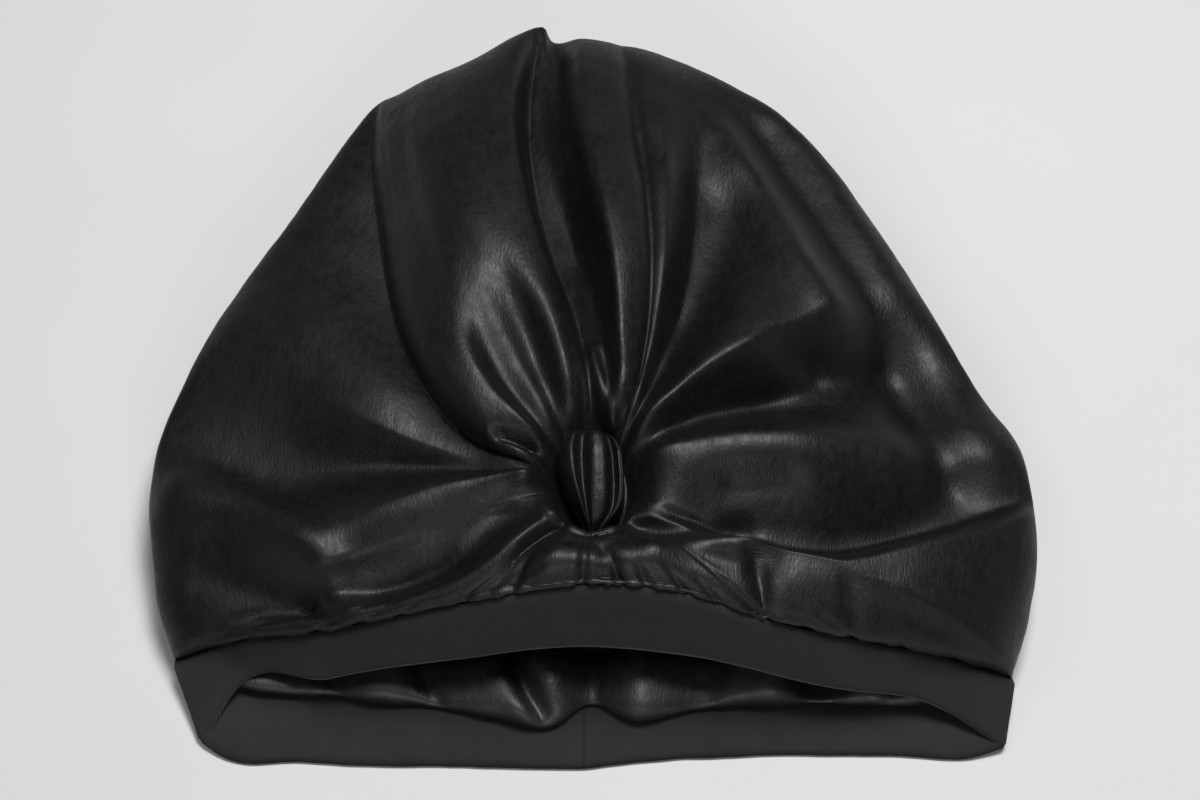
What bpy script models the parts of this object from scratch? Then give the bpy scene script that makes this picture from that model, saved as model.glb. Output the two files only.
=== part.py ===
"""Satin turban headwrap lying on its back, its knotted front up and its mouth towards -Y.

Metres, +Z up. The origin is on the surface that the headwrap lies on, under the middle of its box.
The crown is lofted in polar form round the knot: each row of FOLDS is one crest or hollow that
runs from the knot to the rim, and each row of RIM is one point of the outline seen from above.
"""

import math

import bmesh
import bpy
import numpy as np

# Driving sizes
CROWN_WIDTH = 0.282
CROWN_LENGTH = 0.230
CROWN_HEIGHT = 0.078
BAND_DEPTH = 0.031
BAND_WALL = 0.0020
SATIN_WALL = 0.0010
GAP = 0.0005
SEAM_GAP = 0.0010

# The knot sits on the middle line, behind the seam that joins crown and band
KNOT_WIDTH = 0.0205
KNOT_LENGTH = 0.034
KNOT_HEIGHT = 0.017
KNOT_FROM_SEAM = 0.041
KNOT_SEAT = 0.628 * CROWN_HEIGHT
KNOT_FOOT = 0.6

BACK_SEAM_STEP = 0.002

# The crown's back lies flat on the surface inside this share of the rim's distance
FLAT_SHARE = 0.80
DOME_POWER = 2.6

# Near its rim the crown stays at least this far over it, so that the satin bulges over the seam
RIM_OVERHANG = 0.0025
RIM_SLOPE = 0.030

# The lining hangs inside the crown and puffs out over the back of the band
LINING_INSET = 0.0036
LINING_WALL = 0.0010
LINING_PUFF = 0.0065

SATIN_COLOUR = (0.012, 0.012, 0.013)
JERSEY_COLOUR = (0.018, 0.018, 0.019)

HALF_WIDTH = CROWN_WIDTH / 2
SEAM_Y = BAND_DEPTH - (CROWN_LENGTH + BAND_DEPTH) / 2
KNOT_Y = SEAM_Y + KNOT_FROM_SEAM
BACK_SEAM_Y = SEAM_Y + BACK_SEAM_STEP

# name, x share of half width, y share of crown length from the seam, z share of crown height
RIM = (
    ("right_corner", 0.935, -0.015, 0.11),
    ("right_hem", 0.975, 0.060, 0.20),
    ("right_belly", 1.000, 0.170, 0.28),
    ("right_side", 0.978, 0.290, 0.31),
    ("right_flank", 0.895, 0.385, 0.31),
    ("right_upper", 0.775, 0.545, 0.31),
    ("right_shoulder", 0.622, 0.725, 0.31),
    ("right_brow", 0.483, 0.845, 0.32),
    ("right_top", 0.364, 0.905, 0.32),
    ("top_saddle", 0.167, 0.967, 0.32),
    ("top_flat", 0.000, 0.990, 0.33),
    ("tip_foot", -0.095, 0.988, 0.34),
    ("tip", -0.125, 1.000, 0.41),
    ("tip_side", -0.185, 0.982, 0.40),
    ("left_top", -0.300, 0.940, 0.37),
    ("left_brow", -0.470, 0.890, 0.35),
    ("left_shoulder", -0.557, 0.855, 0.33),
    ("left_upper", -0.723, 0.670, 0.32),
    ("left_flank", -0.882, 0.492, 0.32),
    ("left_side", -0.980, 0.333, 0.31),
    ("left_belly", -1.000, 0.228, 0.28),
    ("left_hem", -0.975, 0.090, 0.20),
    ("left_corner", -0.930, 0.012, 0.11),
)

# The front seam between crown and band, in the same shares: an arch over the mouth.
SEAM = (
    ("left_corner", -0.930, 0.012, 0.11),
    ("left_hem", -0.780, 0.016, 0.27),
    ("left_side", -0.566, 0.006, 0.45),
    ("left_brow", -0.387, 0.008, 0.61),
    ("left_of_knot", -0.192, 0.014, 0.74),
    ("under_knot", 0.000, 0.023, 0.79),
    ("right_of_knot", 0.187, 0.016, 0.76),
    ("right_brow", 0.358, -0.003, 0.65),
    ("right_side", 0.578, -0.012, 0.48),
    ("right_hem", 0.784, -0.011, 0.29),
    ("right_corner", 0.935, -0.015, 0.11),
)

# The band's free edge over the mouth: x share of half width, y share of band depth from the seam,
# z share of crown height. MOUTH_BACK is the part of it that lies on the surface.
MOUTH_FRONT = (
    ("left_corner", -0.859, -0.74, 0.030),
    ("left_turn", -0.820, -0.40, 0.075),
    ("left_side", -0.577, -0.22, 0.195),
    ("left_brow", -0.309, -0.13, 0.315),
    ("middle", 0.000, -0.05, 0.375),
    ("right_brow", 0.236, -0.14, 0.345),
    ("right_side", 0.523, -0.34, 0.225),
    ("right_turn", 0.760, -0.42, 0.120),
    ("right_corner", 0.909, -0.80, 0.035),
)
MOUTH_BACK = (
    ("left_corner", -0.859, -0.74, 0.030),
    ("left_foot", -0.810, -0.87, 0.016),
    ("left_flat", -0.645, -0.93, 0.013),
    ("left_of_seam", -0.200, -0.98, 0.013),
    ("back_seam", -0.020, -1.00, 0.013),
    ("right_of_seam", 0.100, -0.93, 0.013),
    ("right_flat", 0.680, -0.86, 0.013),
    ("right_foot", 0.840, -0.88, 0.017),
    ("right_corner", 0.909, -0.80, 0.035),
)

# The band's section: share of the way down its depth, and share of half its wall from the middle.
# name, along, out
BAND_SECTION = (
    ("upper_edge", 0.00, 0),
    ("upper_round", 0.04, 1),
    ("outer_middle", 0.50, 1),
    ("lower_round", 0.96, 1),
    ("lower_edge", 1.00, 0),
    ("lower_inside", 0.96, -1),
    ("inner_middle", 0.50, -1),
    ("upper_inside", 0.04, -1),
)

# Each row is a crest or a hollow, in turn round the knot from +X towards +Y. The angles, in degrees,
# say where it runs at the stations below, and the heights are shares of the crown's. round is 1 for a
# rounded line and 0 for a sharp crease.
# name, near, inner, mid, far, rim, near_z, inner_z, mid_z, far_z, round
FOLDS = (
    ("right_hollow", -22, -18, -15, -3, 5, 0.74, 0.71, 0.64, 0.50, 1),
    ("level_fold", 21, 17, 15, 12, 13, 0.79, 0.83, 0.84, 0.68, 1),
    ("slant_crease", 37, 34, 29, 25, 21, 0.74, 0.71, 0.61, 0.51, 1),
    ("slant_fold", 49, 47, 43, 41, 42, 0.79, 0.85, 0.90, 0.78, 1),
    ("slant_hollow", 58, 62, 67, 73, 70, 0.74, 0.72, 0.66, 0.60, 1),
    ("soft_fold", 62.5, 68, 73.5, 80, 85, 0.76, 0.775, 0.82, 0.75, 1),
    ("middle_crease", 64, 69.5, 76.5, 83.5, 87, 0.75, 0.76, 0.79, 0.70, 0),
    ("middle_fold", 72, 78, 85, 90, 91, 0.80, 0.85, 0.90, 0.81, 1),
    ("shadow_hollow", 82, 87, 93.5, 96.5, 94, 0.745, 0.71, 0.62, 0.56, 1),
    ("lip_crease", 91, 94, 98.5, 99, 95.5, 0.74, 0.69, 0.60, 0.52, 0),
    ("lip_fold", 103, 103.5, 108, 108, 103.5, 0.79, 0.87, 0.93, 0.88, 1),
    ("right_eye", 115, 113, 113, 111, 106, 0.735, 0.77, 0.928, 0.865, 1),
    ("eye_ridge", 122, 120.5, 118, 114, 109, 0.75, 0.80, 0.918, 0.835, 1),
    ("left_eye", 130, 129, 123, 116.5, 110, 0.735, 0.775, 0.905, 0.80, 1),
    ("cheek_fold", 140, 139, 129, 118.5, 111, 0.79, 0.86, 0.88, 0.76, 1),
    ("eyelet", 149.5, 147, 135, 121, 112, 0.765, 0.845, 0.845, 0.72, 1),
    ("edge_fold", 156, 153, 140.5, 123.3, 113, 0.775, 0.81, 0.79, 0.67, 1),
    ("edge_crease", 165, 158, 145, 126.8, 114.5, 0.745, 0.68, 0.62, 0.53, 0),
    ("left_body", 167.5, 164, 162, 153, 146, 0.745, 0.69, 0.68, 0.61, 1),
    ("left_hollow", 171, 171, 173, 176, 168, 0.74, 0.68, 0.60, 0.49, 1),
    ("left_roll", 179, 182, 187, 190, 178, 0.775, 0.79, 0.76, 0.62, 1),
    ("left_chin_hollow", 192, 199, 204, 204, 188, 0.745, 0.72, 0.68, 0.56, 1),
    ("left_chin", 228, 226, 225, 224, 220, 0.78, 0.81, 0.83, 0.80, 1),
    ("chin_crease", 244, 239, 232, 231, 231, 0.75, 0.755, 0.76, 0.76, 1),
    ("left_panel", 253, 252, 250, 250, 250, 0.76, 0.79, 0.82, 0.86, 1),
    ("centre_seam", 268, 268, 268, 268, 268, 0.745, 0.78, 0.81, 0.85, 0.5),
    ("right_panel", 286, 287, 287, 287, 287, 0.76, 0.79, 0.82, 0.86, 1),
    ("right_chin_hollow", 306, 311, 316, 319, 320, 0.73, 0.75, 0.77, 0.80, 1),
    ("right_hem_roll", 320, 328, 334, 350, 361, 0.76, 0.78, 0.79, 0.75, 1),
)
FOLD_STATIONS = (0.0, 0.07, 0.20, 0.40, 0.70, 1.0)
CREASE_STEEPNESS = 1.9
CREASE_WAY = (0.10, 0.45)
DEGREES_PER_COLUMN = 4.5
CROWN_RINGS = 14

# Ridges and troughs that cross the folds, each an arc over three places: x share of half width and
# y share of crown length from the seam, then its half width and its height as such shares.
# name, x_1, y_1, x_2, y_2, x_3, y_3, half_width, height
CROSSINGS = (
    ("side_trough", 0.410, 0.800, 0.600, 0.550, 0.770, 0.240, 0.060, -0.12),
    ("shoulder_ridge", 0.342, 0.790, 0.471, 0.569, 0.565, 0.455, 0.070, 0.09),
    ("slant_bowl", 0.230, 0.440, 0.270, 0.520, 0.330, 0.640, 0.090, -0.05),
    ("valley_swell", 0.469, 0.350, 0.537, 0.355, 0.604, 0.340, 0.060, 0.05),
    ("level_dent", 0.310, 0.177, 0.364, 0.180, 0.429, 0.186, 0.035, -0.03),
    ("left_swell", -0.820, 0.480, -0.640, 0.430, -0.480, 0.330, 0.130, 0.06),
    ("left_curl", -0.938, 0.223, -0.700, 0.150, -0.530, 0.005, 0.060, 0.11),
    ("left_pocket", -0.550, 0.010, -0.582, 0.022, -0.615, 0.036, 0.020, -0.10),
    ("right_gather", 0.352, 0.067, 0.358, 0.034, 0.367, -0.004, 0.020, -0.07),
    ("hem_gather", 0.552, 0.037, 0.557, 0.010, 0.561, -0.011, 0.020, -0.03),
    ("right_chin", 0.137, 0.071, 0.240, 0.083, 0.345, 0.080, 0.035, 0.05),
    ("small_dent", 0.028, 0.057, 0.044, 0.046, 0.052, 0.035, 0.020, -0.03),
    ("knot_pouch", -0.137, 0.176, -0.100, 0.166, -0.075, 0.156, 0.030, 0.06),
)
BACK_TURN = (0.96, 0.89, 0.84, FLAT_SHARE)

# The lining's rolled lower edge over the back of the band.
# name, x share of half width, reach share of band depth, rise share of the puff
LINING_EDGE = (
    ("left_end", -0.88, 0.10, 0.15),
    ("left_pucker", -0.74, 0.30, 0.50),
    ("left_dip", -0.59, 0.27, 0.30),
    ("left_puff", -0.48, 0.34, 0.80),
    ("left_crease", -0.35, 0.36, 0.35),
    ("middle_puff", -0.22, 0.48, 0.90),
    ("deep_puff", -0.085, 0.55, 1.00),
    ("middle_crease", -0.01, 0.34, 0.35),
    ("right_puff", 0.10, 0.52, 1.00),
    ("right_crease", 0.235, 0.40, 0.50),
    ("right_roll", 0.33, 0.37, 0.90),
    ("step_high", 0.43, 0.36, 0.95),
    ("step_low", 0.465, 0.34, 0.30),
    ("low_puff", 0.60, 0.40, 0.60),
    ("right_pucker", 0.74, 0.44, 0.50),
    ("right_end", 0.88, 0.12, 0.15),
)

# Sections of the lining from its mouth to its closed end. follow is 1 where the front hangs from
# the seam. The front's y and z are shares of the crown's length and height, lip is how far the back
# reaches over the band, puff is how much of the rise is left, and lift is where the end turns up.
# name, width, follow, front_y, front_z, lip, back_y, puff, lift
LINING_SECTIONS = (
    ("turned_edge", 0.880, 1.00, 0.000, 0.00, 0.55, 0.00, 0.00, 0.00),
    ("edge_under", 0.880, 1.00, 0.004, 0.00, 0.93, 0.00, 0.00, 0.00),
    ("edge_nose", 0.880, 1.00, 0.008, 0.00, 1.00, 0.00, 0.35, 0.00),
    ("edge_over", 0.875, 0.85, 0.020, 0.60, 0.88, 0.00, 0.80, 0.00),
    ("puff_top", 0.875, 0.45, 0.050, 0.61, 0.45, 0.00, 1.00, 0.00),
    ("over_band", 0.886, 0.15, 0.100, 0.55, 0.00, 0.02, 0.85, 0.00),
    ("behind_band", 0.908, 0.05, 0.150, 0.525, 0.00, 0.11, 0.45, 0.00),
    ("knot_level", 0.912, 0.00, 0.230, 0.475, 0.00, 0.22, 0.15, 0.00),
    ("belly", 0.862, 0.00, 0.340, 0.42, 0.00, 0.34, 0.00, 0.00),
    ("middle", 0.740, 0.00, 0.520, 0.375, 0.00, 0.52, 0.00, 0.00),
    ("upper", 0.560, 0.00, 0.710, 0.35, 0.00, 0.71, 0.00, 0.00),
    ("end_turn", 0.330, 0.00, 0.850, 0.28, 0.00, 0.85, 0.00, 0.05),
    ("end", 0.090, 0.00, 0.910, 0.20, 0.00, 0.91, 0.00, 0.12),
)

# The lining's side line, where front and back meet: y share of the crown's length and z share of its
# height. It starts a step behind the seam, a share of the crown's length.
# name, y, z
LINING_SIDE = (
    ("mouth", 0.0, 0.135),
    ("belly", 0.3, 0.256),
    ("closed_end", 0.9, 0.244),
)
LINING_SIDE_STEP = 0.014

# The knot's outline along its length, from the end by the seam: share of length, and of half width
# to the left and to the right, height share, and how deep its grooves are.
# name, along, left, right, height, groove
KNOT_SECTIONS = (
    ("seam_tip", 0.00, 0.06, 0.10, 0.30, 0.0),
    ("seam_taper", 0.08, 0.20, 0.42, 0.52, 0.5),
    ("lower", 0.22, 0.46, 0.86, 0.72, 0.9),
    ("belly", 0.42, 0.80, 1.00, 0.88, 1.0),
    ("middle", 0.60, 0.97, 0.97, 0.98, 1.0),
    ("upper", 0.78, 1.00, 0.88, 1.00, 0.8),
    ("shoulder", 0.92, 0.80, 0.62, 0.88, 0.4),
    ("top", 1.00, 0.40, 0.24, 0.55, 0.0),
)

# Across the knot, from its left edge to its right one: place share, height share without grooves,
# and with full grooves.
# name, across, plain, grooved
KNOT_PROFILE = (
    ("left_foot", -1.00, 0.30, 0.30),
    ("left_edge", -0.93, 0.58, 0.60),
    ("outer_groove", -0.80, 0.78, 0.56),
    ("left_pleat", -0.55, 0.92, 0.92),
    ("pleat_groove", -0.26, 0.98, 0.70),
    ("panel_left", -0.05, 1.00, 0.98),
    ("panel", 0.30, 0.98, 0.96),
    ("panel_right", 0.55, 0.92, 0.80),
    ("roll_groove", 0.72, 0.84, 0.60),
    ("right_roll", 0.88, 0.70, 0.82),
    ("right_edge", 0.98, 0.50, 0.56),
    ("right_foot", 1.00, 0.30, 0.28),
)


def spline(stations, values, at):
    """A smooth curve through values at rising stations, read at the places in at."""
    stations = np.asarray(stations, float)
    values = np.asarray(values, float)
    slopes = np.gradient(values, stations, axis=0)
    i = np.clip(np.searchsorted(stations, at, side="right") - 1, 0, len(stations) - 2)
    span = stations[i + 1] - stations[i]
    t = (at - stations[i]) / span
    if values.ndim == 2:
        t, span = t[:, None], span[:, None]
    a = values[i] * (1 + 2 * t) * (1 - t) ** 2 + slopes[i] * span * t * (1 - t) ** 2
    b = values[i + 1] * t * t * (3 - 2 * t) + slopes[i + 1] * span * t * t * (t - 1)
    return a + b


def columns_of(table):
    """The numbers of a named table, one array for each column after the name."""
    return np.array([row[1:] for row in table], float).T


def curve_at(table, x):
    """Points at x of a curve held in a table of x, y and z shares of the crown's sizes."""
    rows = columns_of(table).T * (HALF_WIDTH, CROWN_LENGTH, CROWN_HEIGHT) + (0, SEAM_Y, 0)
    points = spline(rows[:, 0], rows, x)
    points[:, 0] = x
    return points


def across_from(table, count):
    """count + 1 places in x from the table's first row to its last, closer together at the ends."""
    first, last = table[0][1], table[-1][1]
    way = (1 - np.cos(np.linspace(0, math.pi, count + 1))) / 2
    return (first + (last - first) * way) * HALF_WIDTH


def rim_curve(per_span=12):
    """The crown's rim from the right corner round the tip to the left corner, as points."""
    rows = columns_of(RIM).T * (HALF_WIDTH, CROWN_LENGTH, CROWN_HEIGHT) + (0, SEAM_Y, 0)
    steps = np.arange(0, len(rows) - 1 + 1e-9, 1 / per_span)
    return spline(np.arange(len(rows)), rows, steps)


def angle_about_knot(points):
    """Angles in degrees, 0 to 360, of points seen from the knot."""
    return np.degrees(np.arctan2(points[:, 1] - KNOT_Y, points[:, 0])) % 360


def polar_reader(curve):
    """Distance from the knot and height of a closed curve, as functions of the angle in degrees."""
    angle = angle_about_knot(curve)
    order = np.argsort(angle)
    angle = angle[order]
    from_knot = curve[order, :2] - (0, KNOT_Y)
    values = np.column_stack([np.hypot(*from_knot.T), curve[order, 2]])
    angle = np.concatenate([angle - 360, angle, angle + 360])
    values = np.tile(values, (3, 1))
    return lambda at: np.stack([np.interp(at, angle, values[:, k]) for k in (0, 1)], axis=-1)


def line_slopes(heights, middles, rounds, share):
    """Slopes before and after each fold line, per gap: none on a crest, steep at a crease."""
    gaps = np.diff(middles)[:, None]
    rise = np.diff(heights, axis=0)
    before, after = np.roll(rise, 1, axis=0), rise
    gap_before = np.roll(gaps, 1, axis=0)
    steep_a, steep_b = before / gap_before, after / gaps
    even = 2 * steep_a * steep_b / np.where(steep_a * steep_b > 0, steep_a + steep_b, 1)
    even = np.where(steep_a * steep_b > 0, even, 0)
    opening = np.clip((share - CREASE_WAY[0]) / (CREASE_WAY[1] - CREASE_WAY[0]), 0, 1)
    soft = rounds[:-1, None] * np.where(rounds[:-1, None] < 1, opening, 1)
    slope_in = soft * even * gap_before + (1 - soft) * CREASE_STEEPNESS * before
    slope_out = soft * even * gaps + (1 - soft) * CREASE_STEEPNESS * after
    return slope_out, np.roll(slope_in, -1, axis=0)


def crossing_heights(points):
    """Height that CROSSINGS add at points seen from above."""
    added = np.zeros(len(points))
    scale = (HALF_WIDTH, CROWN_LENGTH)
    t = np.linspace(0, 1, 80)[:, None]
    for row in CROSSINGS:
        a, b, c = (np.array(row[k : k + 2]) * scale + (0, SEAM_Y) for k in (1, 3, 5))
        bend = 2 * b - (a + c) / 2
        arc = (1 - t) ** 2 * a + 2 * t * (1 - t) * bend + t**2 * c
        away = np.linalg.norm(points[:, None, :2] - arc, axis=2).min(axis=1)
        added += row[8] * CROWN_HEIGHT * np.exp(-((away / (row[7] * HALF_WIDTH)) ** 2))
    return added


def knot_radius(angle, grow):
    """Distance from the knot's middle to an ellipse round its outline, at an angle in degrees."""
    a, b = KNOT_WIDTH / 2 + grow, KNOT_LENGTH / 2 + grow
    c, s = np.cos(np.radians(angle)), np.sin(np.radians(angle))
    return a * b / np.sqrt((b * c) ** 2 + (a * s) ** 2)


def crown_front(rings, degrees_per_column):
    """Rings of points over the crown's front, from the knot's seat out to the rim and the seam."""
    seam = curve_at(SEAM, across_from(SEAM, 96))
    reader = polar_reader(np.concatenate([rim_curve(), seam[1:-1]]))
    corners = rim_curve()[[0, -1]]
    share = (1 - np.cos(np.linspace(0, math.pi, rings + 1))) / 2
    near, inner, mid, far, rim, near_z, inner_z, mid_z, far_z, rounds = columns_of(FOLDS + FOLDS[:1])
    for angles in (near, inner, mid, far, rim):
        angles[-1] += 360
    seat = np.full(len(near), KNOT_SEAT / CROWN_HEIGHT)
    angles = spline(FOLD_STATIONS, np.array([near, near, inner, mid, far, rim]), share).T
    levels = np.array([seat, near_z, inner_z, mid_z, far_z, far_z * 0.9])
    heights = spline(FOLD_STATIONS, levels, share).T
    slope_out, slope_in = line_slopes(heights, mid, rounds, share)
    grid = []
    for k in range(len(FOLDS)):
        gap = max(mid[k + 1] - mid[k], rim[k + 1] - rim[k])
        steps = max(2, round(gap / degrees_per_column))
        for t in np.arange(steps) / steps:
            angle = angles[k] + (angles[k + 1] - angles[k]) * t
            height = heights[k] * (1 + 2 * t) * (1 - t) ** 2 + slope_out[k] * t * (1 - t) ** 2
            height += heights[k + 1] * t**2 * (3 - 2 * t) + slope_in[k] * t**2 * (t - 1)
            height *= CROWN_HEIGHT
            rim_distance, rim_height = reader(angle).T
            height = np.maximum(height, rim_height + RIM_OVERHANG - RIM_SLOPE * (1 - share))
            start = knot_radius(angle, GAP)
            distance = start + (rim_distance - start) * share
            turn = np.radians(angle)
            across, along = distance * np.cos(turn), KNOT_Y + distance * np.sin(turn)
            height += crossing_heights(np.stack([across, along], axis=1))
            z = rim_height + (height - rim_height) * np.sqrt(1 - share**DOME_POWER)
            z[0] = KNOT_SEAT
            grid.append(np.stack([across, along, z], axis=1))
    grid = np.array(grid).transpose(1, 0, 2)
    for corner in corners:
        nearest = np.argmin(np.linalg.norm(grid[-1] - corner, axis=1))
        grid[-1, nearest] = corner
    return grid


def add_strip(bm, first, second, closed=True):
    """Quads between two rows of the same number of vertices."""
    count = len(first)
    for j in range(count if closed else count - 1):
        k = (j + 1) % count
        bm.faces.new((first[j], first[k], second[k], second[j]))


def turned_back(rim, share):
    """Points of the crown's back that lie at a share of the way from the back seam's middle to rim."""
    middle = np.array([0, BACK_SEAM_Y, 0])
    points = middle + (rim - middle) * np.reshape(share, (-1, 1))
    turned = np.clip((np.asarray(share) - FLAT_SHARE) / (1 - FLAT_SHARE), 0, 1)
    points[:, 2] = rim[:, 2] * (1 - np.sqrt(1 - turned**2))
    return points


def crown_mesh(rings=CROWN_RINGS, degrees_per_column=DEGREES_PER_COLUMN):
    """The crown's outer skin: front, turned side and flat back, open only at the mouth."""
    bm = bmesh.new()
    grid = crown_front(rings, degrees_per_column)
    rows = [[bm.verts.new(p) for p in ring] for ring in grid]
    for outer, inner in zip(rows[1:], rows):
        add_strip(bm, outer, inner)
    bmesh.ops.triangulate(bm, faces=[bm.faces.new(rows[0])])
    corners = rim_curve()[[0, -1]]
    right, left = (np.argmin(np.linalg.norm(grid[-1] - c, axis=1)) for c in corners)
    order = np.arange(right, right + (left - right) % grid.shape[1] + 1) % grid.shape[1]
    edge = [rows[-1][j] for j in order]
    for share in BACK_TURN:
        ring = [bm.verts.new(p) for p in turned_back(grid[-1, order], share)]
        add_strip(bm, ring, edge, closed=False)
        edge = ring
    flat = bm.faces.new([bm.verts.new((0, BACK_SEAM_Y, 0)), *edge[::-1]])
    bmesh.ops.triangulate(bm, faces=[flat], ngon_method="EAR_CLIP")
    mesh = bpy.data.meshes.new("crown")
    bm.normal_update()
    bm.to_mesh(mesh)
    bm.free()
    return mesh


def lining_loops(half=25):
    """Closed loops of points from the lining's mouth to its end, front half first."""
    edge_x, edge_reach, edge_rise = columns_of(LINING_EDGE)
    side_place, side_height = columns_of(LINING_SIDE)
    turn = np.linspace(0, math.pi, half)
    bow = np.sin(turn)
    loops = []
    for _, width, follow, front_y, front_z, lip, back_y, puff, lift in LINING_SECTIONS:
        x = width * HALF_WIDTH * np.cos(turn)
        side_y = SEAM_Y + (back_y + LINING_SIDE_STEP) * CROWN_LENGTH
        side_z = np.interp(back_y, side_place, side_height) * CROWN_HEIGHT
        seam = curve_at(SEAM, x) + (0, LINING_INSET, -2 * LINING_WALL)
        seam_y, seam_z = seam[:, 1] + front_y * CROWN_LENGTH, seam[:, 2]
        top_y, top_z = SEAM_Y + front_y * CROWN_LENGTH, front_z * CROWN_HEIGHT
        y = seam_y * follow + (side_y + (top_y - side_y) * bow) * (1 - follow)
        z = seam_z * follow + (side_z + (top_z - side_z) * bow**1.2) * (1 - follow)
        blend = bow**0.5
        front = np.stack([x, side_y + (y - side_y) * blend, side_z + (z - side_z) * blend], axis=1)
        reach = np.interp(x / HALF_WIDTH, edge_x, edge_reach) * BAND_DEPTH
        rise = np.interp(x / HALF_WIDTH, edge_x, edge_rise) * LINING_PUFF
        rest = (BAND_WALL + LINING_WALL if lip > 0 else SATIN_WALL) + GAP + lift * CROWN_HEIGHT
        y = SEAM_Y + back_y * CROWN_LENGTH - lip * reach
        z = rest + rise * puff
        back = np.stack([x, side_y + (y - side_y) * bow**0.4, side_z + (z - side_z) * bow**0.4], axis=1)
        loops.append(np.concatenate([front, back[::-1][1:-1]]))
    return np.array(loops)


def loops_mesh(name, loops, caps=(), ring=False):
    """A skin over closed loops of points, with a cap on each loop listed, or joined end to end."""
    bm = bmesh.new()
    rows = [[bm.verts.new(p) for p in loop] for loop in loops]
    for first, second in zip(rows, rows[1:] + (rows[:1] if ring else [])):
        add_strip(bm, first, second)
    for k in caps:
        bmesh.ops.triangulate(bm, faces=[bm.faces.new(rows[k])])
    bmesh.ops.recalc_face_normals(bm, faces=bm.faces)
    if bm.calc_volume(signed=True) < 0:
        bmesh.ops.reverse_faces(bm, faces=bm.faces)
    mesh = bpy.data.meshes.new(name)
    bm.to_mesh(mesh)
    bm.free()
    return mesh


def band_edges(count):
    """Upper and lower edge of the band round its loop: over the mouth to the right, then back."""
    upper_front = curve_at(SEAM, across_from(SEAM, count)) - (0, SEAM_GAP, SEAM_GAP)
    right, left = rim_curve()[[0, -1]]
    x = across_from(SEAM, count)[-2:0:-1]
    corner = np.where(x[:, None] > 0, right, left)
    upper_back = turned_back(corner, x / corner[:, 0]) + (0, -SEAM_GAP, BAND_WALL / 2)
    per_depth = (HALF_WIDTH, BAND_DEPTH, CROWN_HEIGHT)
    lower = []
    for table in (MOUTH_FRONT, MOUTH_BACK):
        rows = columns_of(table).T * per_depth + (0, SEAM_Y, 0)
        edge = spline(rows[:, 0], rows, across_from(table, count))
        edge[:, 2] = np.maximum(edge[:, 2], BAND_WALL / 2)
        lower.append(edge)
    return np.concatenate([upper_front, upper_back]), np.concatenate([lower[0], lower[1][-2:0:-1]])


def band_loops(count=36):
    """Rounded sections of the band, round its loop."""
    upper, lower = band_edges(count)
    down = lower - upper
    ahead = np.roll((upper + lower) / 2, -1, axis=0) - np.roll((upper + lower) / 2, 1, axis=0)
    out = np.cross(down, ahead)
    out /= np.linalg.norm(out, axis=1)[:, None]
    half = BAND_WALL / 2
    section = columns_of(BAND_SECTION).T
    return np.array([upper + down * along + out * half * side for along, side in section]).transpose(1, 0, 2)


def knot_loops():
    """Sections across the knot, from the end by the seam to the other one."""
    along, left, right, height, groove = columns_of(KNOT_SECTIONS)
    across, plain, grooved = columns_of(KNOT_PROFILE)
    base = KNOT_SEAT + GAP
    loops = []
    for k in range(len(along)):
        side = np.where(across < 0, left[k], right[k]) * KNOT_WIDTH / 2
        x = across * side
        z = base + (plain + (grooved - plain) * groove[k]) * height[k] * KNOT_HEIGHT
        y = KNOT_Y + (along[k] - 0.5) * KNOT_LENGTH
        top = np.stack([x, np.full_like(x, y), z], axis=1)
        floor = np.array([(KNOT_FOOT * x[-1], y, base), (KNOT_FOOT * x[0], y, base)])
        loops.append(np.concatenate([top, floor]))
    return np.array(loops)


def add_piece(name, mesh, colour, roughness):
    """An object in the scene with a smooth mesh and its own plain material."""
    material = bpy.data.materials.new(name)
    material.use_nodes = True
    shader = material.node_tree.nodes["Principled BSDF"]
    shader.inputs["Base Color"].default_value = (*colour, 1)
    shader.inputs["Roughness"].default_value = roughness
    mesh.materials.append(material)
    mesh.shade_smooth()
    piece = bpy.data.objects.new(name, mesh)
    bpy.context.scene.collection.objects.link(piece)
    return piece


def thicken(piece, wall):
    """Gives a skin its wall, inwards from the outer face."""
    shell = piece.modifiers.new("wall", "SOLIDIFY")
    shell.thickness = wall
    shell.offset = -1
    shell.use_rim = True


def main():
    for old in list(bpy.data.objects):
        bpy.data.objects.remove(old)
    crown = add_piece("crown", crown_mesh(), SATIN_COLOUR, 0.40)
    thicken(crown, SATIN_WALL)
    lining = add_piece("lining", loops_mesh("lining", lining_loops(), (-1,)), SATIN_COLOUR, 0.40)
    thicken(lining, LINING_WALL)
    add_piece("band", loops_mesh("band", band_loops(), ring=True), JERSEY_COLOUR, 0.75)
    add_piece("knot", loops_mesh("knot", knot_loops(), (0, -1)), SATIN_COLOUR, 0.40)


main()
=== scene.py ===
"""Satin turban headwrap lying on its back, knotted front up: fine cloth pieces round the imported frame.

Metres, +Z up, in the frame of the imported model. The crown is lofted in polar form round the knot from
tables like those of the solids, with more fold lines, more points and the small wrinkles.
"""

import math

import bmesh
import bpy
import numpy as np
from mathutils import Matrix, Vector, noise


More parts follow.
